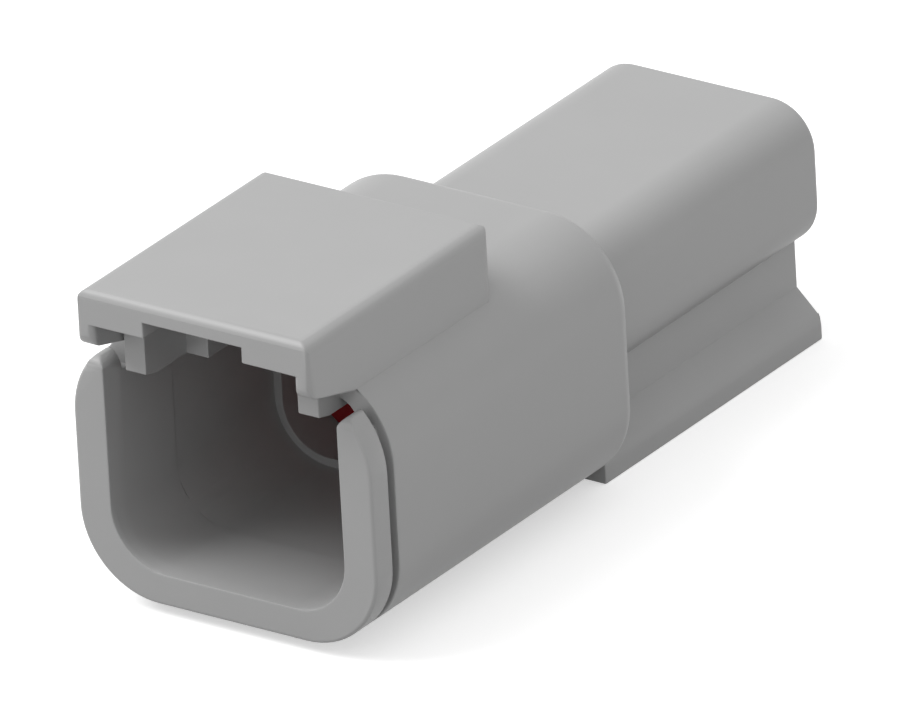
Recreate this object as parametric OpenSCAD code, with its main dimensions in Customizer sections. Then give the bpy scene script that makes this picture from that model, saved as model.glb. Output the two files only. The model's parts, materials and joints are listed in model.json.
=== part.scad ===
// Sealed two-way wire connector, the half that holds the pins.
// Built flat side down: the mouth faces -Y, the wires leave towards +Y, and the latch hood is on top.
// Sizes are millimetres.
// The origin is at the middle of the length and width, on the underside of the clip rail.

/* [Front shell] */
// Outside width of the front shell
shell_w = 19.46; // [18:0.1:24]
// Outside height of the front shell
shell_h = 15.6; // [15:0.1:20]
// Length from the mouth face to the shoulder
shell_l = 25; // [24:0.25:34]
// Thickness of the walls beside the mouth
wall_t = 2.25; // [1.4:0.05:2.4]
// Thickness of the floor under the mouth
floor_t = 2; // [1.2:0.1:2.4]
// Thickness of the roof over the mouth
roof_t = 1.65; // [1.2:0.05:2.4]
// Radius of the two lower long edges
low_r = 4.9; // [2:0.1:5.2]
// Radius of the two upper long edges
top_r = 5; // [2:0.1:5.2]
// Radius of the edge at the shoulder
shoulder_r = 1.25; // [0.4:0.05:1.8]

/* [Mouth rim] */
// Thickness of the rim, front to back
rim_t = 1.6; // [1.2:0.05:3]
// Width of the groove behind the rim
groove_w = 0.6; // [0.3:0.05:1.2]
// Depth of the groove behind the rim
groove_d = 0.8; // [0.4:0.05:1.1]
// Radius of the rim's upper outer edges, which run out in the tips of its two arms
rim_top_r = 5.2; // [4.8:0.1:5.8]
// Height from the arms' tips up to the line of the shell's top
arm_drop = 1.7; // [1.5:0.05:2]
// Radius of the round tip of each arm
arm_r = 0.35; // [0.2:0.05:0.5]
// Radius of the wider bend from the mouth's side to each tip
arm_bend_r = 1.3; // [1.2:0.05:1.6]
// Rounding of the rim's front edges
rim_edge_r = 0.2; // [0.1:0.05:0.3]
// Rounding of the front of each arm's tip
arm_front_r = 0.7; // [0.3:0.05:1]

/* [Mouth] */
// Depth from the mouth face to the front of the wedge lock
mouth_l = 18.4; // [17:0.1:19]
// Radius of the two lower corners inside the mouth
mouth_low_r = 3.2; // [1:0.1:3.6]
// Radius of the two upper corners inside the mouth
mouth_top_r = 1.45; // [0.5:0.05:2]
// Length of the flare at the mouth's edge
flare_l = 1.25; // [0.5:0.05:1.6]
// How far the flare widens the mouth on each side
flare_d = 0.15; // [0.05:0.01:0.3]
// Distance from the mouth face to the small step where the mouth widens
step_l = 6.1; // [3:0.1:9]
// Depth of that step
step_d = 0.1; // [0.05:0.05:0.2]
// How much rounder the lower corners are behind the step, so that it fades out there
step_fade = 0.3; // [0.1:0.05:0.6]
// Distance from the mouth face to the ledge where the cavity narrows
ledge_l = 15.4; // [12:0.1:16]
// Step inwards at the ledge
ledge_d = 0.4; // [0.3:0.05:1]

/* [Hood] */
// Width of the hood
hood_w = 15.16; // [13:0.1:16]
// Length of the hood
hood_l = 17.4; // [12:0.1:20]
// How far the hood reaches past the mouth face
hood_reach = 2.14; // [0.5:0.05:4]
// Height of the hood above the shell
hood_rise = 3.49; // [3:0.05:6]
// Thickness of the hood's top plate
hood_t = 2.05; // [1.4:0.02:2.4]
// Thickness of the hood's side walls
hood_wall_t = 1.05; // [0.6:0.05:1.1]
// Rounding of the hood's front and rear upper edges
hood_top_r = 0.55; // [0.3:0.05:0.8]
// Rounding of the hood's long upper edges
hood_side_r = 0.85; // [0.3:0.05:1]
// Rounding of the hood's two upright front edges
hood_front_r = 0.3; // [0.2:0.05:0.6]
// Rounding of the hood's two upright rear edges
hood_back_r = 0.8; // [0.6:0.05:1.2]
// Rounding of the inner front edge of each side wall
hood_inner_r = 0.4; // [0.1:0.05:0.5]
// Drop of the hood's side walls below the shell's top, at the groove
skirt_drop = 1; // [0.4:0.05:1.4]
// Rise of the side walls' lower edge towards the front
skirt_rise = 0.95; // [0.4:0.05:1.4]
// Rounding of the side walls' lower front corner
skirt_r = 1; // [0.3:0.05:1.2]

/* [Latch channel] */
// Width of the latch channel at the mouth
channel_w = 9.92; // [8:0.1:10.4]
// Width of the latch channel past its step
channel_in_w = 7.08; // [6.6:0.1:7.6]
// Distance from the mouth face to the step in the channel
channel_step_l = 4.1; // [2.6:0.1:7]
// Thickness of the channel's rear wall
channel_end_t = 1.1; // [0.6:0.1:2]
// Width of the relief in the hood's plate
relief_w = 6.4; // [4:0.1:6.6]
// Depth of the relief in the hood's plate
relief_d = 0.9; // [0.3:0.02:1]
// Width of each guide rib under the hood
rib_w = 1.38; // [0.8:0.02:1.6]
// Distance from the mouth face back to the ribs' front
rib_set = 0.3; // [0.1:0.05:1]
// How far the ribs reach below the mouth's ceiling
rib_drop = 0.75; // [0.3:0.05:0.9]
// Length of the slope under each rib's front
rib_slope_l = 1.1; // [0.4:0.05:1.4]
// Height of the slope under each rib's front
rib_slope_h = 0.27; // [0.1:0.01:0.5]
// Height of the catch that holds the mating latch
catch_h = 0.8; // [0.4:0.05:0.8]
// Distance from the mouth face to the catch's face
catch_l = 9; // [8.5:0.1:10.5]
// Length of the catch behind its slope
catch_t = 1.2; // [0.8:0.1:2]

/* [Rear body] */
// Length from the shoulder to the rear face
rear_l = 21.46; // [20:0.1:30]
// Width of the rear body
rear_w = 14.48; // [14:0.1:17]
// Height of the rear body
rear_h = 8.48; // [8:0.1:9.2]
// Height from the base of the shell to the rear body
rear_z = 4.77; // [4.2:0.05:5.2]
// Radius of the rear body's long edges
rear_r = 2.69; // [2.3:0.05:3.2]
// Thickness of the wall round the wire seal
rear_wall_t = 1.1; // [0.8:0.05:1.2]
// Rounding of the rear body's rear edge
rear_edge_r = 0.4; // [0.1:0.05:0.6]

/* [Clip rail] */
// Length of the rail
rail_l = 21.04; // [15:0.1:21.4]
// Width across the rail's foot
foot_w = 14.48; // [13:0.1:16]
// Width of the rail's web
web_w = 11.48; // [9:0.1:12]
// Thickness of the foot at its outer face
foot_t = 1.33; // [1:0.05:1.8]
// Depth of the foot below the shell's base
foot_drop = 0.64; // [0.3:0.02:1.2]
// Rounding of the foot's upper edge
foot_r = 1; // [0.2:0.05:1.2]

/* [Contacts] */
// Distance between the two contacts
pitch = 7; // [6.8:0.05:7.4]
// Diameter of the pins
pin_d = 1.58; // [1.2:0.02:1.8]
// Distance from the mouth face to the pins' tips
pin_tip_l = 12.3; // [10:0.1:14]
// Diameter of the pins' roots, from the wedge lock back
pin_root_d = 2.1; // [1.9:0.02:2.3]
// Diameter of the contacts' necks
neck_d = 2.6; // [2.2:0.05:3]
// Length of the contacts' necks
neck_l = 1.5; // [1:0.1:2]
// Diameter of the contacts' crimp barrels
barrel_d = 2.5; // [2.1:0.05:2.6]
// Length of the crimp barrels behind the collar
barrel_l = 8.8; // [7:0.1:9.5]
// Diameter of the hole for the wire in a barrel
crimp_d = 1.7; // [1.2:0.05:1.8]
// Depth of the hole for the wire in a barrel
crimp_l = 6.5; // [4:0.1:6.8]
// Diameter of the sight hole in a barrel
sight_d = 0.7; // [0.4:0.05:0.9]
// Diameter of the contacts' collars
collar_d = 3.6; // [3.2:0.05:3.7]
// Length of the contacts' collars
collar_l = 1.2; // [0.8:0.1:1.8]
// Diameter of the cavities that hold the contacts
cavity_d = 4.2; // [4:0.05:4.4]
// Thickness of the wall in front of the cavities
front_wall_t = 2; // [1.4:0.1:2.2]
// Width of the slits that free the retaining fingers
finger_slit = 0.4; // [0.25:0.05:0.5]
// Length of each finger's tooth
tooth_l = 1.2; // [0.8:0.1:1.6]
// How far the slits run past the wedge lock's blade
slit_over_l = 1; // [0.6:0.1:1.6]

/* [Wedge lock] */
// Thickness of the wedge lock's plate
plate_t = 1.9; // [1.2:0.1:2.2]
// Thickness of the blade between the retaining fingers
blade_t = 1.3; // [1:0.05:1.4]
// Length of the blade
blade_l = 8.6; // [6:0.1:9]
// Height of the blade
blade_h = 3; // [2.4:0.1:3.4]
// Length of the two side legs
leg_l = 3.6; // [2:0.1:3.8]
// Thickness of the two side legs
leg_t = 0.8; // [0.6:0.05:0.9]
// Height of the two side legs
leg_h = 4; // [2.4:0.1:5]
// Distance from the contacts' cavities out to the side legs
leg_set = 0.3; // [0.25:0.05:0.5]
// Width of the window for the tool that pulls the lock out
hook_w = 3; // [2:0.1:4]
// Height of the window for the tool
hook_h = 1.4; // [0.8:0.1:1.8]
// Height of the window above the plate's lower edge
hook_z = 1.2; // [0.8:0.1:1.8]

/* [Wire seal] */
// Length of the wire seal
seal_l = 8; // [6:0.1:8.4]
// Diameter of the wire holes in the seal
wire_d = 3.2; // [2.6:0.05:3.3]
// Number of sealing rings inside each wire hole and round the outside
ring_count = 3; // [2:1:4]
// Height of the sealing rings inside the wire holes
ring_h = 0.5; // [0.2:0.05:0.7]
// Thickness of the sealing rings round the outside
rib_t = 0.8; // [0.5:0.05:1]
// Depth of the valleys between the outside rings
valley_d = 0.3; // [0.2:0.05:0.5]
// Thickness of the cap that holds the seal
cap_t = 1.5; // [1.2:0.1:1.8]
// Diameter of the wire holes in the cap
cap_hole_d = 3.8; // [3.4:0.05:4]
// Width of the bead round the cap
bead_w = 0.5; // [0.3:0.05:0.6]
// Height of the bead round the cap
bead_d = 0.2; // [0.1:0.05:0.3]

/* [Clearances] */
// Gap round what slides
slide_gap = 0.1; // [0.06:0.01:0.15]
// Gap round what is seated
seat_gap = 0.04; // [0.02:0.01:0.08]

/* [Hidden] */
$fn = 72;

housing_colour = "#b4b4b4";
wedge_colour = "#7c1418";
contact_colour = "#c9c6bd";
seal_colour = "#b5482a";

// A cut reaches this far past the face it opens.
past = 1;
// What joins two parts of one moulding sinks this far into its carrier.
root = 0.5;
// A round end is this much larger than the bodies it is trimmed to.
hair = 0.01;

// The mouth face lies at Y = 0 and the shell's base at Z = 0 until the whole part is placed.
overall_l = hood_reach + shell_l + rear_l;
rear_face = shell_l + rear_l;
place = [0, hood_reach - overall_l / 2, foot_drop];

groove_back = rim_t + groove_w;
mouth_w = shell_w - 2 * wall_t;
inner_w = mouth_w - 2 * ledge_d;
inner_floor = floor_t + ledge_d;
ceiling_h = shell_h - roof_t;
inner_ceiling = ceiling_h - rib_drop;

// Each arm's tip touches the rim's outer edge from inside, and the bend from the mouth's side.
rim_arc_x = shell_w / 2 - rim_top_r;
rim_arc_z = shell_h - rim_top_r;
arm_top = shell_h - arm_drop;
tip_z = arm_top - arm_r;
tip_x = rim_arc_x + sqrt(pow(rim_top_r - arm_r, 2) - pow(tip_z - rim_arc_z, 2));
bend_x = mouth_w / 2 + arm_bend_r;
bend_z = tip_z - sqrt(pow(arm_bend_r - arm_r, 2) - pow(bend_x - tip_x, 2));

hood_front = -hood_reach;
hood_back = hood_l - hood_reach;
hood_top = shell_h + hood_rise;
hood_under = hood_top - hood_t;
skirt_low = shell_h - skirt_drop;
channel_back = hood_back - channel_end_t;

core_front = mouth_l + plate_t + slide_gap;
axis_z = rear_z + rear_h / 2;
pin_hole_d = pin_root_d + 2 * slide_gap;

// Along the connector: the contacts' collars and the retaining fingers behind them
neck_front = core_front + front_wall_t + seat_gap;
collar_front = neck_front + neck_l;
collar_back = collar_front + collar_l;
finger_tip = collar_back + 2 * seat_gap;
finger_back = core_front + blade_l + slit_over_l;

// The inner faces of the wedge lock's side legs
leg_x = pitch / 2 + cavity_d / 2 + leg_set;

// The chamber for the wire seal and its cap
seal_back = rear_face - cap_t;
chamber_front = seal_back - seal_l;
chamber_w = rear_w - 2 * rear_wall_t;
chamber_h = rear_h - 2 * rear_wall_t;
chamber_r = rear_r - rear_wall_t;
bead_y = rear_face - cap_t / 2;
ring_step = seal_l / (ring_count + 1);

// Turns a shape drawn in XY and raised along Z so that its Y points up and its height runs to +Y.
module to_back() {
    rotate([90, 0, 180])
        children();
}

// The same with the height running to -Y.
module to_front() {
    rotate([90, 0, 0])
        children();
}

// Places its children at each contact's axis.
module at_contacts() {
    for (side = [-1, 1])
        translate([side * pitch / 2, 0, axis_z])
            children();
}

// Half of a section: r wide and h high, its outer top edge rounded by e.
// Where e is negative, the side flares outwards by that much instead.
module corner_section(r, h, e) {
    if (e < 0)
        polygon([[0, 0], [r, 0], [r - e, h], [0, h]]);
    else
        intersection() {
            square([r, h]);
            union() {
                square([r, h - e]);
                square([r - e, h]);
                translate([r - e, h - e])
                    circle(r = e);
            }
        }
}

// The whole section, w wide: both top edges rounded by e, or both sides flared.
module top_section(w, h, e) {
    if (e < 0)
        polygon([[-w / 2, 0], [w / 2, 0], [w / 2 - e, h], [-w / 2 + e, h]]);
    else {
        translate([-w / 2, 0])
            square([w, h - e]);
        translate([-w / 2 + e, 0])
            square([w - 2 * e, h]);
        for (side = [-1, 1])
            translate([side * (w / 2 - e), h - e])
                circle(r = e);
    }
}

// A slab with a rounded outline and an upper edge rounded or flared by e.
// It spans w in X and y0 to y1 in Y, with corner radius r0 at y0 and r1 at y1, and is h high.
module soft_slab(w, y0, y1, r0, r1, h, e) {
    back = y1 - r1;
    mid_l = back - y0 - r0;
    // Taken from the far end, so that no rounding error leaves a crack where the corners begin
    front = back - mid_l;
    translate([0, back, 0])
        rotate([90, 0, 0])
            linear_extrude(mid_l)
                top_section(w, h, e);
    translate([w / 2 - r0, front, 0])
        rotate([90, 0, -90])
            linear_extrude(w - 2 * r0)
                corner_section(r0, h, e);
    translate([-w / 2 + r1, back, 0])
        rotate([90, 0, 90])
            linear_extrude(w - 2 * r1)
                corner_section(r1, h, e);
    for (side = [-1, 1]) {
        translate([side * (w / 2 - r0), front, 0])
            rotate([0, 0, side > 0 ? -90 : 180])
                rotate_extrude(angle = 90)
                    corner_section(r0, h, e);
        translate([side * (w / 2 - r1), back, 0])
            rotate([0, 0, side > 0 ? 0 : 90])
                rotate_extrude(angle = 90)
                    corner_section(r1, h, e);
    }
}

// A flat outline w wide from z0 to z1, with corner radius r0 below and r1 above.
module outline(w, z0, z1, r0, r1) {
    translate([-w / 2, z0 + r0])
        square([w, z1 - z0 - r0 - r1]);
    translate([-w / 2 + r0, z0])
        square([w - 2 * r0, r0 + root]);
    translate([-w / 2 + r1, z1 - r1 - root])
        square([w - 2 * r1, r1 + root]);
    for (side = [-1, 1]) {
        translate([side * (w / 2 - r0), z0 + r0])
            circle(r = r0);
        translate([side * (w / 2 - r1), z1 - r1])
            circle(r = r1);
    }
}

// An outline raised from y0 to y1 along the connector.
module bar(y0, y1, w, z0, z1, r0, r1) {
    translate([0, y0, 0])
        to_back()
            linear_extrude(y1 - y0)
                outline(w, z0, z1, r0, r1);
}

// A block that is symmetric in X.
module mid_block(w, y0, y1, z0, z1) {
    translate([-w / 2, y0, z0])
        cube([w, y1 - y0, z1 - z0]);
}

// The two mirrored copies of a shape.
module both_sides() {
    children();
    mirror([1, 0, 0])
        children();
}

// Front shell behind the groove, with its rounded shoulder
module shell_body() {
    translate([0, groove_back, 0])
        to_back()
            soft_slab(shell_w, 0, shell_h, low_r, top_r, shell_l - groove_back, shoulder_r);
}

// The rim, open between its two arms, and the neck in the groove behind it
module rim_body() {
    intersection() {
        difference() {
            union() {
                translate([0, rim_t, 0])
                    to_front()
                        soft_slab(shell_w, 0, shell_h, low_r, rim_top_r, rim_t, rim_edge_r);
                bar(rim_t - root, groove_back + root, shell_w - 2 * groove_d, groove_d, shell_h,
                    low_r - groove_d, rim_top_r - groove_d);
            }
            mid_block(mouth_w, -past, groove_back, axis_z, shell_h + past);
            mid_block(shell_w, rim_t, groove_back, bend_z, shell_h + past);
            translate([0, flare_l, 0])
                to_front()
                    soft_slab(mouth_w, floor_t, shell_h + mouth_top_r, mouth_low_r, mouth_top_r,
                        flare_l, -flare_d);
        }
        to_x_profile()
            arm_front();
        translate([0, -past, 0])
            to_back()
                linear_extrude(groove_back + root + 2 * past)
                    arm_limit();
    }
}

// Side view of the arms: the upper front corner is round.
module arm_front() {
    top = arm_top + hair;
    translate([-past, -past])
        square([groove_back + root + 2 * past, top - arm_front_r + past]);
    translate([arm_front_r, 0])
        square([groove_back + root, top]);
    translate([arm_front_r, top - arm_front_r])
        circle(r = arm_front_r);
}

// What the round tips of the two arms leave: the bend, the tip and all that lies below them
module arm_limit() {
    reach = 2 * wall_t;
    turn = atan2(tip_z - rim_arc_z, tip_x - rim_arc_x);
    lean = atan2(tip_z - bend_z, tip_x - bend_x);
    both_flat() {
        polygon([
            [0, -past],
            [tip_x + reach * cos(turn), -past],
            [tip_x + reach * cos(turn), tip_z + reach * sin(turn)],
            [tip_x, tip_z],
            [bend_x, bend_z],
            [0, bend_z]
        ]);
        translate([tip_x, tip_z])
            circle(r = arm_r + hair);
        intersection() {
            translate([bend_x, bend_z])
                circle(r = arm_bend_r + hair);
            polygon([
                [bend_x, bend_z],
                [bend_x + reach * cos(lean), bend_z + reach * sin(lean)],
                [bend_x - reach, bend_z]
            ]);
        }
    }
}

// The hood's top plate and the two side walls that join it to the shell
module hood_body() {
    low = skirt_low - root;
    high = hood_top - low;
    intersection() {
        translate([0, 0, low])
            linear_extrude(high)
                outline(hood_w, hood_front, hood_back, hood_front_r, hood_back_r);
        translate([0, hood_front - past, low])
            to_back()
                linear_extrude(hood_l + 2 * past)
                    top_section(hood_w, high, hood_side_r);
        to_x_profile()
            translate([(hood_front + hood_back) / 2, low])
                top_section(hood_l, high, hood_top_r);
        to_x_profile()
            skirt_profile();
    }
}

// Draws a profile in Y and Z across the whole width.
module to_x_profile() {
    translate([-shell_w / 2, 0, 0])
        rotate([90, 0, 90])
            linear_extrude(shell_w)
                children();
}

// Side view of the hood: its lower edge rises towards the front and ends in a round corner.
module skirt_profile() {
    corner_z = skirt_low + skirt_rise + skirt_r;
    slope = atan2(skirt_rise, groove_back - hood_front - skirt_r);
    translate([groove_back, 0])
        square([hood_back - groove_back + past, hood_top + past]);
    translate([hood_front, corner_z])
        square([groove_back - hood_front, hood_top + past - corner_z]);
    translate([hood_front + skirt_r, corner_z])
        circle(r = skirt_r);
    polygon([
        [hood_front + skirt_r, corner_z],
        [hood_front + skirt_r * (1 - sin(slope)), corner_z - skirt_r * cos(slope)],
        [groove_back, skirt_low],
        [groove_back, corner_z]
    ]);
}

// One guide rib: it hangs from the hood's plate at the front and runs back along the mouth's ceiling.
module guide_rib() {
    translate([channel_w / 2, 0, 0])
        rotate([90, 0, 90])
            linear_extrude(rib_w)
                polygon([
                    [rib_set, inner_ceiling + rib_slope_h],
                    [rib_set + rib_slope_l, inner_ceiling],
                    [ledge_l + root, inner_ceiling],
                    [ledge_l + root, ceiling_h + root],
                    [groove_back + root, ceiling_h + root],
                    [groove_back + root, hood_under + root],
                    [rib_set, hood_under + root]
                ]);
    translate([channel_in_w / 2, channel_step_l, inner_ceiling])
        cube([(channel_w - channel_in_w) / 2 + root, ledge_l + root - channel_step_l, rib_drop + root]);
}

// The space under the hood's plate in front of the shell, wider where the walls' front edges are round
module hood_space() {
    space_w = hood_w - 2 * hood_wall_t;
    low = ceiling_h - root;
    high = hood_under - low;
    mid_block(space_w, hood_front - past, groove_back, low, hood_under);
    both_sides()
        translate([space_w / 2 - root, hood_front - past, low])
            difference() {
                cube([root + hood_inner_r, past + hood_inner_r, high]);
                translate([root + hood_inner_r, past + hood_inner_r, -past])
                    cylinder(h = high + 2 * past, r = hood_inner_r);
            }
}

// The latch channel, from the mouth up to the hood's plate
module latch_channel() {
    low = inner_ceiling - past;
    mid_block(channel_w, hood_front - past, channel_step_l, low, hood_under);
    mid_block(channel_in_w, hood_front - past, channel_back, low, hood_under);
    mid_block(relief_w, hood_front - past, channel_back, hood_under - past, hood_under + relief_d);
}

// The catch under the hood's plate, sloped at the front and square behind
module catch() {
    ceiling = hood_under + relief_d;
    slope_l = 2 * catch_h;
    translate([-relief_w / 2, 0, 0])
        rotate([90, 0, 90])
            linear_extrude(relief_w)
                polygon([
                    [catch_l - slope_l, ceiling],
                    [catch_l, ceiling - catch_h],
                    [catch_l + catch_t, ceiling - catch_h],
                    [catch_l + catch_t, ceiling + root],
                    [catch_l - slope_l, ceiling + root]
                ]);
}

// The space inside the mouth, which widens at a step that fades out towards its corners, and the
// wedge lock's seat
module mouth_space() {
    bar(-past, step_l + root, mouth_w, floor_t, ceiling_h, mouth_low_r, mouth_top_r);
    bar(step_l, ledge_l, mouth_w + 2 * step_d, floor_t - step_d, ceiling_h,
        mouth_low_r + step_fade, mouth_top_r);
    bar(ledge_l - root, core_front, inner_w, inner_floor, inner_ceiling,
        mouth_low_r - ledge_d, mouth_top_r);
}

// Section of the clip rail
module rail_section() {
    foot_top = foot_t - foot_drop;
    flare = (foot_w - web_w) / 2;
    arc_x = foot_w / 2 - foot_r;
    arc_z = foot_top - foot_r * tan(22.5);
    both_flat() {
        polygon([
            [0, -foot_drop],
            [arc_x, -foot_drop],
            [arc_x, arc_z],
            [arc_x + foot_r * cos(45), arc_z + foot_r * sin(45)],
            [web_w / 2, foot_top + flare],
            [web_w / 2, rear_z + root],
            [0, rear_z + root]
        ]);
        intersection() {
            union() {
                translate([arc_x, arc_z])
                    circle(r = foot_r);
                translate([arc_x - root, -foot_drop])
                    square([root + foot_r, arc_z + foot_drop]);
            }
            translate([0, -foot_drop])
                square([foot_w / 2, foot_t + flare]);
        }
    }
}

// The two mirrored copies of a flat shape
module both_flat() {
    children();
    mirror([1, 0])
        children();
}

module clip_rail() {
    translate([0, shell_l, 0])
        to_back()
            linear_extrude(rail_l)
                rail_section();
}

module rear_body() {
    front = shell_l - shoulder_r - root;
    translate([0, front, 0])
        to_back()
            soft_slab(rear_w, rear_z, rear_z + rear_h, rear_r, rear_r, rear_face - front, rear_edge_r);
}

// Holes for the contacts, the retaining fingers beside them and the slot for the wedge lock's blade
module contact_spaces() {
    at_contacts() {
        translate([0, core_front - past, 0])
            to_back()
                cylinder(h = front_wall_t + 2 * past, d = pin_hole_d);
        translate([0, core_front + front_wall_t, 0])
            to_back()
                cylinder(h = chamber_front - core_front - front_wall_t + past, d = cavity_d);
    }
    slot_w = blade_t + 2 * slide_gap;
    slot_h = blade_h + 2 * slide_gap;
    translate([0, 0, axis_z]) {
        mid_block(slot_w, core_front - past, core_front + blade_l + slide_gap, -slot_h / 2, slot_h / 2);
        for (side = [-1, 1])
            mid_block(pitch - collar_d / 2, core_front + front_wall_t, finger_back,
                side * slot_h / 2 - finger_slit / 2, side * slot_h / 2 + finger_slit / 2);
        mid_block(pitch - collar_d / 2, core_front + front_wall_t, finger_tip, -slot_h / 2, slot_h / 2);
    }
}

// The teeth on the fingers' tips, which stand behind the contacts' collars
module finger_teeth() {
    tooth_h = blade_h - 2 * finger_slit;
    tooth_in = (blade_t / 2 + slide_gap + pitch / 2 - cavity_d / 2) / 2;
    tooth_out = pitch / 2 - barrel_d / 2 - slide_gap;
    both_sides()
        translate([tooth_in, finger_tip, axis_z - tooth_h / 2])
            cube([tooth_out - tooth_in, tooth_l, tooth_h]);
}

// Slots for the wedge lock's side legs
module leg_slots() {
    both_sides()
        translate([leg_x - slide_gap, core_front - past, axis_z - leg_h / 2 - slide_gap])
            cube([leg_t + 2 * slide_gap, leg_l + past + slide_gap, leg_h + 2 * slide_gap]);
}

// The chamber for the wire seal and its cap, with a groove for the cap's bead
module seal_chamber() {
    z0 = axis_z - chamber_h / 2;
    z1 = axis_z + chamber_h / 2;
    groove_half = bead_w / 2 + seat_gap;
    bar(chamber_front, rear_face + past, chamber_w, z0, z1, chamber_r, chamber_r);
    bar(bead_y - groove_half, bead_y + groove_half, chamber_w + 2 * bead_d, z0 - bead_d, z1 + bead_d,
        chamber_r + bead_d, chamber_r + bead_d);
}

module housing() {
    color(housing_colour)
        translate(place)
            union() {
                difference() {
                    union() {
                        rim_body();
                        shell_body();
                        hood_body();
                        rear_body();
                        clip_rail();
                    }
                    mouth_space();
                    hood_space();
                    latch_channel();
                    contact_spaces();
                    leg_slots();
                    seal_chamber();
                }
                both_sides()
                    guide_rib();
                catch();
                finger_teeth();
            }
}

module wedge_lock() {
    plate_w = inner_w - 2 * slide_gap;
    plate_low = inner_floor + slide_gap;
    plate_top = inner_ceiling - 2 * slide_gap;
    plate_r = mouth_low_r - ledge_d;
    color(wedge_colour)
        translate(place)
            difference() {
                union() {
                    bar(mouth_l, mouth_l + plate_t, plate_w, plate_low, plate_top, plate_r, mouth_top_r);
                    translate([0, 0, axis_z])
                        mid_block(blade_t, mouth_l + plate_t - root, core_front + blade_l,
                            -blade_h / 2, blade_h / 2);
                    both_sides()
                        translate([leg_x, mouth_l + plate_t - root, axis_z - leg_h / 2])
                            cube([leg_t, core_front + leg_l - mouth_l - plate_t + root, leg_h]);
                }
                at_contacts()
                    translate([0, mouth_l - past, 0])
                        to_back()
                            cylinder(h = plate_t + 2 * past, d = pin_hole_d);
                // Window for the hook that pulls the lock out
                mid_block(hook_w, mouth_l - past, mouth_l + plate_t + past,
                    plate_low + hook_z, plate_low + hook_z + hook_h);
            }
}

// One turned contact, drawn from its tip along +Z: pin, root, neck, collar and crimp barrel
module contact_section() {
    tip_r = pin_d / 2;
    root_z = mouth_l - 2 * slide_gap - pin_tip_l;
    neck_z = neck_front - pin_tip_l;
    collar_z = collar_front - pin_tip_l;
    barrel_z = collar_z + collar_l;
    intersection() {
        translate([0, tip_r])
            circle(r = tip_r);
        square([tip_r, 2 * tip_r]);
    }
    translate([0, tip_r])
        square([tip_r, root_z - tip_r]);
    translate([0, root_z])
        square([pin_root_d / 2, neck_z - root_z]);
    translate([0, neck_z])
        square([neck_d / 2, neck_l]);
    translate([0, collar_z])
        square([collar_d / 2, collar_l]);
    translate([0, barrel_z])
        square([barrel_d / 2, barrel_l]);
}

// A contact with its hole for the wire and the sight hole that shows the wire's end
module contact(side) {
    barrel_back = collar_back + barrel_l;
    translate(place)
        translate([side * pitch / 2, 0, axis_z])
            difference() {
                translate([0, pin_tip_l, 0])
                    to_back()
                        rotate_extrude()
                            contact_section();
                translate([0, barrel_back - crimp_l, 0])
                    to_back()
                        cylinder(h = crimp_l + past, d = crimp_d);
                translate([0, barrel_back - crimp_l + sight_d, 0])
                    cylinder(h = barrel_d, d = sight_d);
            }
}

module pin_contact_left() {
    color(contact_colour)
        contact(-1);
}

module pin_contact_right() {
    color(contact_colour)
        contact(1);
}

// Section of a wire hole in the seal, with the rings that close on the wire
module wire_hole_section() {
    difference() {
        translate([0, -past])
            square([wire_d / 2, seal_l + 2 * past]);
        for (ring = [1:ring_count])
            translate([wire_d / 2, ring * ring_step])
                circle(r = ring_h);
    }
}

module wire_seal() {
    seal_w = chamber_w - 2 * seat_gap;
    seal_h = chamber_h - 2 * seat_gap;
    seal_r = chamber_r - seat_gap;
    color(seal_colour)
        translate(place)
            difference() {
                union() {
                    bar(chamber_front + seat_gap, seal_back - seat_gap, seal_w - 2 * valley_d,
                        axis_z - seal_h / 2 + valley_d, axis_z + seal_h / 2 - valley_d,
                        seal_r - valley_d, seal_r - valley_d);
                    for (ring = [1:ring_count])
                        bar(chamber_front + ring * ring_step - rib_t / 2,
                            chamber_front + ring * ring_step + rib_t / 2, seal_w,
                            axis_z - seal_h / 2, axis_z + seal_h / 2, seal_r, seal_r);
                }
                at_contacts()
                    translate([0, chamber_front, 0])
                        to_back()
                            rotate_extrude()
                                wire_hole_section();
            }
}

module seal_cap() {
    cap_w = chamber_w - 2 * seat_gap;
    cap_h = chamber_h - 2 * seat_gap;
    cap_r = chamber_r - seat_gap;
    color(housing_colour)
        translate(place)
            difference() {
                union() {
                    bar(seal_back, rear_face, cap_w, axis_z - cap_h / 2, axis_z + cap_h / 2, cap_r, cap_r);
                    bar(bead_y - bead_w / 2, bead_y + bead_w / 2, cap_w + 2 * bead_d,
                        axis_z - cap_h / 2 - bead_d, axis_z + cap_h / 2 + bead_d,
                        cap_r + bead_d, cap_r + bead_d);
                }
                at_contacts()
                    translate([0, seal_back - past, 0])
                        to_back()
                            cylinder(h = cap_t + 2 * past, d = cap_hole_d);
            }
}

housing();
wedge_lock();
pin_contact_left();
pin_contact_right();
wire_seal();
seal_cap();
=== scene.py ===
"""Looks of a sealed two-way wire connector: materials, finished pieces, light and camera."""

import json
import math

import bmesh
import bpy
from mathutils import Matrix, Vector

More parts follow.
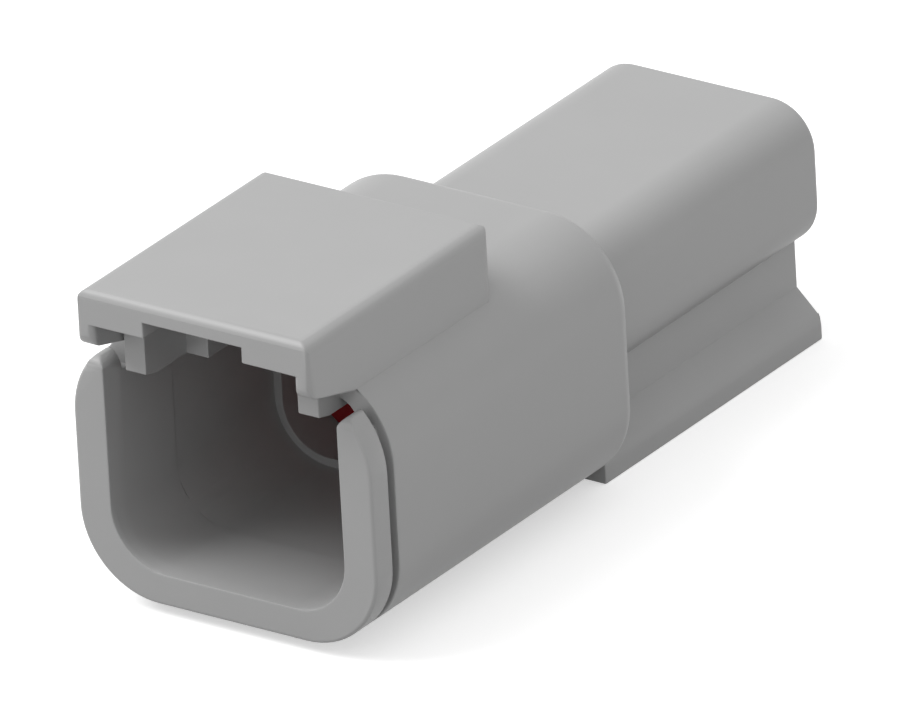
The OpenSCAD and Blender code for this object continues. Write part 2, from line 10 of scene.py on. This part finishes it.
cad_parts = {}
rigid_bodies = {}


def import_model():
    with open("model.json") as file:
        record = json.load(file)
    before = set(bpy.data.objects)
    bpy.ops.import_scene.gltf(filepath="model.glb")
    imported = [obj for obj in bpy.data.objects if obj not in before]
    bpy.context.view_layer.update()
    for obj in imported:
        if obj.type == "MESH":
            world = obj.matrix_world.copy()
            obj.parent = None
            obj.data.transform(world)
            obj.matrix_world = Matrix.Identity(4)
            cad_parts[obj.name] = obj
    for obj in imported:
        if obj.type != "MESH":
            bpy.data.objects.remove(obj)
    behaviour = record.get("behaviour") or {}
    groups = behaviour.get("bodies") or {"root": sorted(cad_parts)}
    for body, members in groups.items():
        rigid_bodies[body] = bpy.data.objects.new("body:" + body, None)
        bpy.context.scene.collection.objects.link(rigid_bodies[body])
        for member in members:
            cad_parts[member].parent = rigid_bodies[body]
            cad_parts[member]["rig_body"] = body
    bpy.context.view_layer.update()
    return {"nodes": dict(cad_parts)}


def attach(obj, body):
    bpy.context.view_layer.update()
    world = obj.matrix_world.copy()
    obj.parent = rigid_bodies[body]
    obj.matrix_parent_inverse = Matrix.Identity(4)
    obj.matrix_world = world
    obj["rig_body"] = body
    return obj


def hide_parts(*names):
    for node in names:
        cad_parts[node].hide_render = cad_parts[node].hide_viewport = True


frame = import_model()

bl_info = {
    "name": "Sealed wire connector",
    "version": (1, 0, 0),
    "blender": (4, 5, 0),
    "location": "View3D > Sidebar > Connector",
    "description": "Finishes the pieces of a sealed two-way wire connector and lights them",
    "category": "Object",
}

MM = 0.001

# Strength at which the room's background is white.
WHITE = 1.0
# Width of the camera's sensor in millimetres, and the nearest and farthest that it sees in metres.
SENSOR = 36
NEAREST, FARTHEST = 0.1, 100
# Side of the square of paper under the connector, in metres.
PAPER = 40
# The crests of a wave texture of scale 1 are about this far apart, in metres.
CRESTS = 0.3
# Real sizes of the patterns: the nylon's flow marks, the filler in the silicone, and the patches
# where a contact is handled. A lathe's rings are about 0.03 mm apart, too fine to show, so they
# are drawn coarser.
FLOW_MARK = 3.6 * MM
SPECKLE = 0.3 * MM
HANDLED = 0.8 * MM
LATHE_RING = 0.12 * MM

# Points nearer to each other than this are one point of a CAD node's mesh.
MERGE = 0.02 * MM
# Faces that turn less than this from one to the next are one flat face.
FLAT = math.radians(1)
# Edges that turn more than this are sharp.
SHARP = math.radians(35)
# A face has room for a rounding if it reaches this many times the rounding's width.
ROOM = 2.2
# A flat face at least this wide is shaded flat up to a rounded edge.
WIDE = 0.6 * MM
# The first strip of a rounded edge turns at least this much, unlike that of a drawn curve.
FIRST_TURN = math.radians(9)


def linear_from_hex(text):
    """The linear colour of an sRGB hex value such as #a0a0a0."""
    channels = [int(text[i:i + 2], 16) / 255 for i in (1, 3, 5)]
    linear = [c / 12.92 if c <= 0.04045 else ((c + 0.055) / 1.055) ** 2.4 for c in channels]
    return (*linear, 1.0)


class ConnectorColours(bpy.types.PropertyGroup):
    """Colours of the connector's pieces."""

    housing: bpy.props.FloatVectorProperty(
        name="Housing",
        description="Colour of the moulded housing and of the rear cap",
        default=linear_from_hex("#a7a7a7"),
        subtype="COLOR",
        size=4,
        min=0,
        max=1,
    )
    lock: bpy.props.FloatVectorProperty(
        name="Wedge lock",
        description="Colour of the wedge lock",
        default=linear_from_hex("#8c1018"),
        subtype="COLOR",
        size=4,
        min=0,
        max=1,
    )
    contact: bpy.props.FloatVectorProperty(
        name="Contacts",
        description="Colour of the plated pin contacts",
        default=linear_from_hex("#d6d2c8"),
        subtype="COLOR",
        size=4,
        min=0,
        max=1,
    )
    seal: bpy.props.FloatVectorProperty(
        name="Wire seal",
        description="Colour of the silicone seal",
        default=linear_from_hex("#b8452c"),
        subtype="COLOR",
        size=4,
        min=0,
        max=1,
    )
    floor: bpy.props.FloatVectorProperty(
        name="Floor",
        description="Colour of the floor and the backdrop",
        default=linear_from_hex("#e6e6e6"),
        subtype="COLOR",
        size=4,
        min=0,
        max=1,
    )


class ConnectorSizes(bpy.types.PropertyGroup):
    """Small sizes of the finished pieces, beyond those of the frame."""

    housing_edge: bpy.props.FloatProperty(
        name="Housing edges",
        description="Rounding that the mould leaves on the housing's sharp edges",
        default=0.1 * MM,
        min=0,
        unit="LENGTH",
    )
    lock_edge: bpy.props.FloatProperty(
        name="Wedge lock edges",
        description="Rounding of the wedge lock's edges",
        default=0.12 * MM,
        min=0,
        unit="LENGTH",
    )
    contact_edge: bpy.props.FloatProperty(
        name="Contact edges",
        description="Rounding of the turned contacts' shoulders",
        default=0.08 * MM,
        min=0,
        unit="LENGTH",
    )
    seal_edge: bpy.props.FloatProperty(
        name="Seal rings",
        description="Rounding of the crests of the seal's rings",
        default=0.22 * MM,
        min=0,
        unit="LENGTH",
    )
    # The real grain is about 0.05 mm, which is less than one dot of the picture, so it is drawn
    # coarser, to show.
    grain: bpy.props.FloatProperty(
        name="Mould grain",
        description="Size of the grain that a spark-eroded mould leaves on plastic",
        default=0.18 * MM,
        min=0,
        unit="LENGTH",
    )


class ConnectorStage(bpy.types.PropertyGroup):
    """Camera and light."""

    azimuth: bpy.props.FloatProperty(
        name="Azimuth",
        description="Angle of the camera to the right of the mouth's axis",
        default=math.radians(35.909),
        subtype="ANGLE",
    )
    elevation: bpy.props.FloatProperty(
        name="Elevation",
        description="Angle of the camera above the floor",
        default=math.radians(25.154),
        subtype="ANGLE",
    )
    roll: bpy.props.FloatProperty(
        name="Roll",
        description="Turn of the camera about its line of sight",
        default=math.radians(-3.2133),
        subtype="ANGLE",
    )
    distance: bpy.props.FloatProperty(
        name="Distance",
        description="Distance from the camera to the point it looks at",
        default=1.75,
        unit="LENGTH",
    )
    view_width: bpy.props.FloatProperty(
        name="View width",
        description="Width of what the picture shows at the point it looks at",
        default=0.04863,
        unit="LENGTH",
    )
    target: bpy.props.FloatVectorProperty(
        name="Target",
        description="Point that the camera looks at",
        default=(0.000932, -0.002179, 0.008217),
        subtype="XYZ",
        unit="LENGTH",
    )
    sky_strength: bpy.props.FloatProperty(
        name="Room light",
        description="Strength of the even light from all round",
        default=0.95,
        min=0,
    )
    lamp_power: bpy.props.FloatProperty(
        name="Softbox",
        description="Power of the softbox above the connector's left side",
        default=2.6,
        min=0,
        unit="POWER",
    )
    lamp_size: bpy.props.FloatVectorProperty(
        name="Softbox size",
        description="Width and length of the softbox",
        default=(0.4, 0.4),
        size=2,
        unit="LENGTH",
    )
    lamp_place: bpy.props.FloatVectorProperty(
        name="Softbox place",
        description="Middle of the softbox, which faces the connector",
        default=(-0.34, -0.25, 0.53),
        subtype="XYZ",
        unit="LENGTH",
    )
    floor_bounce: bpy.props.FloatProperty(
        name="Floor bounce",
        description="Share of the light that the floor sends back to the connector",
        default=0.3,
        min=0,
        max=1,
        subtype="FACTOR",
    )
    floor_lift: bpy.props.FloatProperty(
        name="Floor lift",
        description="Light added to the floor as the camera sees it, which keeps its shadow pale",
        default=0.51,
        min=0,
    )


def add_node(tree, kind, settings=None, **links):
    """Adds a node; settings fill its fields and sockets, links join its sockets to other nodes' outputs."""
    node = tree.nodes.new(kind)
    for name, value in (settings or {}).items():
        if name in node.inputs:
            node.inputs[name].default_value = value
        else:
            setattr(node, name, value)
    for name, output in links.items():
        tree.links.new(output, node.inputs[name.replace("_", " ")])
    return node


def new_material(name):
    """An empty node material and its tree."""
    material = bpy.data.materials.new(name)
    material.use_nodes = True
    material.node_tree.nodes.clear()
    return material, material.node_tree


def noise(tree, place, size, detail=2.0):
    """A noise whose spots are about the given size in metres."""
    settings = {"Scale": 1 / size, "Detail": detail}
    return add_node(tree, "ShaderNodeTexNoise", settings, Vector=place).outputs["Fac"]


def spread(tree, value, low, high):
    """Maps a value from 0 to 1 onto the range from low to high."""
    settings = {"To Min": low, "To Max": high}
    return add_node(tree, "ShaderNodeMapRange", settings, Value=value).outputs["Result"]


def shaded(tree, colour, amount):
    """The colour, made lighter or darker by an amount around 1."""
    tint = add_node(tree, "ShaderNodeHueSaturation", {"Color": colour}, Value=amount)
    return tint.outputs["Color"]


def finish_material(tree, settings, **links):
    """Joins the surface shader to the material's output."""
    shader = add_node(tree, "ShaderNodeBsdfPrincipled", settings, **links)
    add_node(tree, "ShaderNodeOutputMaterial", Surface=shader.outputs["BSDF"])


def moulded_nylon(name, colour, grain_size):
    """Glass-filled nylon from a spark-eroded mould: the eye gets an even satin face, soft wide
    highlights on the roundings, a fine grain close up, and faint cloudy flow marks."""
    material, tree = new_material(name)
    place = add_node(tree, "ShaderNodeTexCoord").outputs["Object"]
    grain = noise(tree, place, grain_size)
    flow = noise(tree, place, FLOW_MARK, detail=3.0)
    bump = add_node(tree, "ShaderNodeBump", {"Strength": 0.12, "Distance": 0.01 * MM}, Height=grain)
    finish_material(
        tree,
        {"IOR": 1.5},
        Base_Color=shaded(tree, colour, spread(tree, flow, 0.97, 1.03)),
        Roughness=spread(tree, flow, 0.38, 0.46),
        Normal=bump.outputs["Normal"],
    )
    return material


def silicone(name, colour):
    """Moulded silicone rubber: the eye gets a dull, slightly oily face with a soft speckle of filler."""
    material, tree = new_material(name)
    place = add_node(tree, "ShaderNodeTexCoord").outputs["Object"]
    speckle = noise(tree, place, SPECKLE, detail=4.0)
    bump = add_node(tree, "ShaderNodeBump", {"Strength": 0.1, "Distance": 0.02 * MM}, Height=speckle)
    finish_material(
        tree,
        {"IOR": 1.41, "Sheen Weight": 0.1},
        Base_Color=shaded(tree, colour, spread(tree, speckle, 0.94, 1.06)),
        Roughness=spread(tree, speckle, 0.5, 0.65),
        Normal=bump.outputs["Normal"],
    )
    return material


def plated_metal(name, colour):
    """Nickel plate over turned brass: the eye gets bright metal, with the lathe's fine rings showing
    through the plate and duller patches where it is handled."""
    material, tree = new_material(name)
    place = add_node(tree, "ShaderNodeTexCoord").outputs["Object"]
    rings = add_node(
        tree,
        "ShaderNodeTexWave",
        {"bands_direction": "Y", "Scale": CRESTS / LATHE_RING, "Distortion": 0.4, "Detail": 2.0},
        Vector=place,
    )
    patches = noise(tree, place, HANDLED, detail=3.0)
    bump = add_node(
        tree, "ShaderNodeBump", {"Strength": 0.15, "Distance": 0.004 * MM}, Height=rings.outputs["Fac"]
    )
    finish_material(
        tree,
        {"Metallic": 1.0},
        Base_Color=shaded(tree, colour, spread(tree, patches, 0.92, 1.04)),
        Roughness=spread(tree, patches, 0.18, 0.34),
        Normal=bump.outputs["Normal"],
    )
    return material


def sight(tree):
    """1 for what the camera sees, also in the mirror of metal or through glass, and 0 for light."""
    rays = add_node(tree, "ShaderNodeLightPath").outputs
    seen = rays["Is Camera Ray"]
    for kind in ("Is Glossy Ray", "Is Transmission Ray"):
        either = add_node(tree, "ShaderNodeMath", {"operation": "MAXIMUM"}, Value=seen)
        tree.links.new(rays[kind], either.inputs[1])
        seen = either.outputs["Value"]
    return seen


def lit_paper(stage, colour):
    """Matt white paper from a roll. The eye gets a white ground with a pale shadow, also in the mirror
    of metal. The share of light that it sends back is its own value, so that undersides stay dark."""
    material, tree = new_material("matt backdrop paper")
    bounce = add_node(tree, "ShaderNodeBsdfDiffuse", {"Color": (*[stage.floor_bounce] * 3, 1.0)})
    paper = add_node(tree, "ShaderNodeBsdfDiffuse", {"Color": colour})
    lift = add_node(tree, "ShaderNodeEmission", {"Strength": stage.floor_lift})
    seen = add_node(tree, "ShaderNodeAddShader")
    tree.links.new(paper.outputs["BSDF"], seen.inputs[0])
    tree.links.new(lift.outputs["Emission"], seen.inputs[1])
    mix = add_node(tree, "ShaderNodeMixShader", Fac=sight(tree))
    tree.links.new(bounce.outputs["BSDF"], mix.inputs[1])
    tree.links.new(seen.outputs["Shader"], mix.inputs[2])
    add_node(tree, "ShaderNodeOutputMaterial", Surface=mix.outputs["Shader"])
    return material


def camera_axes(stage):
    """Unit vectors to the camera, to the picture's right and up."""
    a, e = stage.azimuth, stage.elevation
    back = Vector((math.sin(a) * math.cos(e), -math.cos(a) * math.cos(e), math.sin(e)))
    right = Vector((math.cos(a), math.sin(a), 0))
    up = back.cross(right)
    turn = Matrix.Rotation(stage.roll, 3, back)
    return back, turn @ right, turn @ up


class CONNECTOR_OT_stage(bpy.types.Operator):
    """Adds the floor, the lamps and the camera"""

    bl_idname = "connector.stage"
    bl_label = "Add stage"

    def execute(self, context):
        stage = context.scene.connector_stage
        scene = context.scene
        scene.view_settings.view_transform = "Standard"

        back, right, up = camera_axes(stage)
        camera = bpy.data.cameras.new("camera")
        camera.sensor_width = SENSOR
        camera.lens = camera.sensor_width * stage.distance / stage.view_width
        camera.clip_start, camera.clip_end = NEAREST, FARTHEST
        view = bpy.data.objects.new("camera", camera)
        scene.collection.objects.link(view)
        turn = Matrix((right, up, back)).transposed()
        view.matrix_world = Matrix.Translation(Vector(stage.target) + back * stage.distance) @ turn.to_4x4()
        scene.camera = view

        bpy.ops.mesh.primitive_plane_add(size=PAPER, location=(0, 0, 0))
        floor = context.object
        floor.name = "floor"
        floor.data.materials.append(lit_paper(stage, scene.connector_colours.floor))

        world = bpy.data.worlds.new("room")
        scene.world = world
        world.use_nodes = True
        tree = world.node_tree
        tree.nodes.clear()
        strength = spread(tree, sight(tree), stage.sky_strength, WHITE)
        light = add_node(tree, "ShaderNodeBackground", Strength=strength)
        add_node(tree, "ShaderNodeOutputWorld", Surface=light.outputs["Background"])

        lamp = bpy.data.lights.new("softbox", "AREA")
        lamp.energy = stage.lamp_power
        lamp.shape = "RECTANGLE"
        lamp.size, lamp.size_y = stage.lamp_size
        softbox = bpy.data.objects.new("softbox", lamp)
        scene.collection.objects.link(softbox)
        softbox.location = stage.lamp_place
        softbox.rotation_euler = Vector(stage.lamp_place).to_track_quat("Z", "Y").to_euler()
        return {"FINISHED"}


def select_only(piece):
    """Deselects everything else, so that an operator acts on this piece alone."""
    bpy.ops.object.select_all(action="DESELECT")
    bpy.context.view_layer.objects.active = piece
    piece.select_set(True)


def merged_copy(node, name):
    """A copy of a CAD node with its loose triangles joined and its flat faces made whole."""
    piece = bpy.data.objects.new(name, frame["nodes"][node].data.copy())
    bpy.context.scene.collection.objects.link(piece)
    select_only(piece)
    bpy.ops.mesh.customdata_custom_splitnormals_clear()
    bpy.ops.object.mode_set(mode="EDIT")
    bpy.ops.mesh.select_all(action="SELECT")
    bpy.ops.mesh.remove_doubles(threshold=MERGE)
    bpy.ops.mesh.dissolve_degenerate(threshold=MERGE)
    bpy.ops.mesh.dissolve_limited(angle_limit=FLAT)
    bpy.ops.object.mode_set(mode="OBJECT")
    return piece


def reach_from(face, edge):
    """How far a face reaches from the line of one of its edges."""
    start = edge.verts[0].co
    along = (edge.verts[1].co - start).normalized()
    return max((v.co - start - along * (v.co - start).dot(along)).length for v in face.verts)


def mark_edges(piece, width, inner):
    """Marks the sharp edges that have room for a rounding. Inner corners count only if inner is true."""
    mesh = bmesh.new()
    mesh.from_mesh(piece.data)
    mark = mesh.edges.layers.float.new("bevel_weight_edge")
    for edge in mesh.edges:
        if edge.calc_face_angle() < SHARP or not (inner or edge.is_convex):
            continue
        if min(reach_from(face, edge) for face in edge.link_faces) > ROOM * width:
            edge[mark] = 1.0
    mesh.to_mesh(piece.data)
    mesh.free()


def flat_patch(first):
    """The face and all that lie flat beside it, one after the other."""
    patch, queue = set(), [first]
    while queue:
        face = queue.pop()
        if face not in patch:
            patch.add(face)
            level = [edge for edge in face.edges if edge.calc_face_angle(math.pi) < FLAT]
            queue += [other for edge in level for other in edge.link_faces]
    return patch


def wide_flats(mesh):
    """Yields the patches of faces that lie flat and are wider than WIDE, unlike a rounding's strips."""
    seen = set()
    for first in mesh.faces:
        if first in seen:
            continue
        patch = flat_patch(first)
        seen |= patch
        border = [edge for face in patch for edge in face.edges if edge.calc_face_angle(math.pi) >= FLAT]
        area = sum(face.calc_area() for face in patch)
        if 2 * area > WIDE * sum(edge.calc_length() for edge in border):
            yield patch


def straighten_normals(piece):
    """Gives a wide flat face straight normals at its rounded edges, so that no shade streaks over it."""
    normals = [corner.vector.copy() for corner in piece.data.corner_normals]
    mesh = bmesh.new()
    mesh.from_mesh(piece.data)
    for patch in wide_flats(mesh):
        for face in patch:
            for loop, corner in zip(face.loops, piece.data.polygons[face.index].loop_indices):
                others = set(loop.vert.link_faces) - patch
                if all(face.normal.angle(other.normal, 0) > FIRST_TURN for other in others):
                    normals[corner] = face.normal.copy()
    mesh.free()
    piece.data.normals_split_custom_set(normals)


def round_edges(piece, width, segments, inner=True):
    """Rounds the sharp edges of a merged copy and smooths its shading between flat faces."""
    mark_edges(piece, width, inner)
    select_only(piece)
    bpy.ops.object.mode_set(mode="EDIT")
    bpy.ops.mesh.select_all(action="SELECT")
    bpy.ops.mesh.quads_convert_to_tris(ngon_method="BEAUTY")
    bpy.ops.object.mode_set(mode="OBJECT")
    bevel = piece.modifiers.new("edges", "BEVEL")
    bevel.limit_method = "WEIGHT"
    bevel.width = width
    bevel.segments = segments
    bevel.use_clamp_overlap = False
    bpy.ops.object.modifier_apply(modifier=bevel.name)
    bpy.ops.object.shade_smooth_by_angle(angle=SHARP)
    normals = piece.modifiers.new("normals", "WEIGHTED_NORMAL")
    normals.keep_sharp = True
    bpy.ops.object.modifier_apply(modifier=normals.name)
    straighten_normals(piece)


def dress(piece, node, material):
    """Puts a finished piece in the place of its CAD node."""
    piece.data.materials.clear()
    piece.data.materials.append(material)
    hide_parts(node)
    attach(piece, frame["nodes"][node]["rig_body"])


class CONNECTOR_OT_housing(bpy.types.Operator):
    """Finishes the housing: the mould's small edge roundings and its satin grey plastic"""

    bl_idname = "connector.housing"
    bl_label = "Finish housing"

    def execute(self, context):
        sizes = context.scene.connector_sizes
        piece = merged_copy("housing", "moulded_housing")
        round_edges(piece, sizes.housing_edge, segments=2, inner=False)
        colour = context.scene.connector_colours.housing
        dress(piece, "housing", moulded_nylon("moulded nylon, grey", colour, sizes.grain))
        return {"FINISHED"}


class CONNECTOR_OT_wedge_lock(bpy.types.Operator):
    """Finishes the red wedge lock"""

    bl_idname = "connector.wedge_lock"
    bl_label = "Finish wedge lock"

    def execute(self, context):
        sizes = context.scene.connector_sizes
        piece = merged_copy("wedge_lock", "moulded_wedge_lock")
        round_edges(piece, sizes.lock_edge, segments=3)
        colour = context.scene.connector_colours.lock
        dress(piece, "wedge_lock", moulded_nylon("moulded nylon, red", colour, sizes.grain))
        return {"FINISHED"}


class CONNECTOR_OT_contacts(bpy.types.Operator):
    """Finishes the two turned pin contacts"""

    bl_idname = "connector.contacts"
    bl_label = "Finish contacts"

    def execute(self, context):
        width = context.scene.connector_sizes.contact_edge
        material = plated_metal("nickel-plated turned brass", context.scene.connector_colours.contact)
        for side in ("left", "right"):
            piece = merged_copy(f"pin_contact_{side}", f"turned_contact_{side}")
            round_edges(piece, width, segments=3)
            dress(piece, f"pin_contact_{side}", material)
        return {"FINISHED"}


class CONNECTOR_OT_wire_seal(bpy.types.Operator):
    """Finishes the silicone wire seal with rounded rings"""

    bl_idname = "connector.wire_seal"
    bl_label = "Finish wire seal"

    def execute(self, context):
        piece = merged_copy("wire_seal", "silicone_wire_seal")
        round_edges(piece, context.scene.connector_sizes.seal_edge, segments=4, inner=False)
        colour = context.scene.connector_colours.seal
        dress(piece, "wire_seal", silicone("moulded silicone rubber", colour))
        return {"FINISHED"}


class CONNECTOR_OT_seal_cap(bpy.types.Operator):
    """Finishes the grey cap behind the wire seal"""

    bl_idname = "connector.seal_cap"
    bl_label = "Finish seal cap"

    def execute(self, context):
        sizes = context.scene.connector_sizes
        piece = merged_copy("seal_cap", "moulded_seal_cap")
        round_edges(piece, sizes.housing_edge, segments=3)
        colour = context.scene.connector_colours.housing
        material = moulded_nylon("moulded nylon, grey cap", colour, sizes.grain)
        dress(piece, "seal_cap", material)
        return {"FINISHED"}


class CONNECTOR_PT_panel(bpy.types.Panel):
    """Lists the connector's operators"""

    bl_label = "Connector"
    bl_idname = "CONNECTOR_PT_panel"
    bl_space_type = "VIEW_3D"
    bl_region_type = "UI"
    bl_category = "Connector"

    def draw(self, context):
        for operator in OPERATORS:
            self.layout.operator(operator.bl_idname)


OPERATORS = (
    CONNECTOR_OT_stage,
    CONNECTOR_OT_housing,
    CONNECTOR_OT_wedge_lock,
    CONNECTOR_OT_contacts,
    CONNECTOR_OT_wire_seal,
    CONNECTOR_OT_seal_cap,
)
GROUPS = (ConnectorColours, ConnectorSizes, ConnectorStage)


def register():
    for group in GROUPS:
        bpy.utils.register_class(group)
    bpy.types.Scene.connector_colours = bpy.props.PointerProperty(type=ConnectorColours)
    bpy.types.Scene.connector_sizes = bpy.props.PointerProperty(type=ConnectorSizes)
    bpy.types.Scene.connector_stage = bpy.props.PointerProperty(type=ConnectorStage)
    for operator in OPERATORS:
        bpy.utils.register_class(operator)
    bpy.utils.register_class(CONNECTOR_PT_panel)


def unregister():
    bpy.utils.unregister_class(CONNECTOR_PT_panel)
    for operator in reversed(OPERATORS):
        bpy.utils.unregister_class(operator)
    del bpy.types.Scene.connector_stage
    del bpy.types.Scene.connector_sizes
    del bpy.types.Scene.connector_colours
    for group in reversed(GROUPS):
        bpy.utils.unregister_class(group)


def main():
    register()
    bpy.ops.connector.stage()
    bpy.ops.connector.housing()
    bpy.ops.connector.wedge_lock()
    bpy.ops.connector.contacts()
    bpy.ops.connector.wire_seal()
    bpy.ops.connector.seal_cap()


if __name__ == "__main__":
    main()
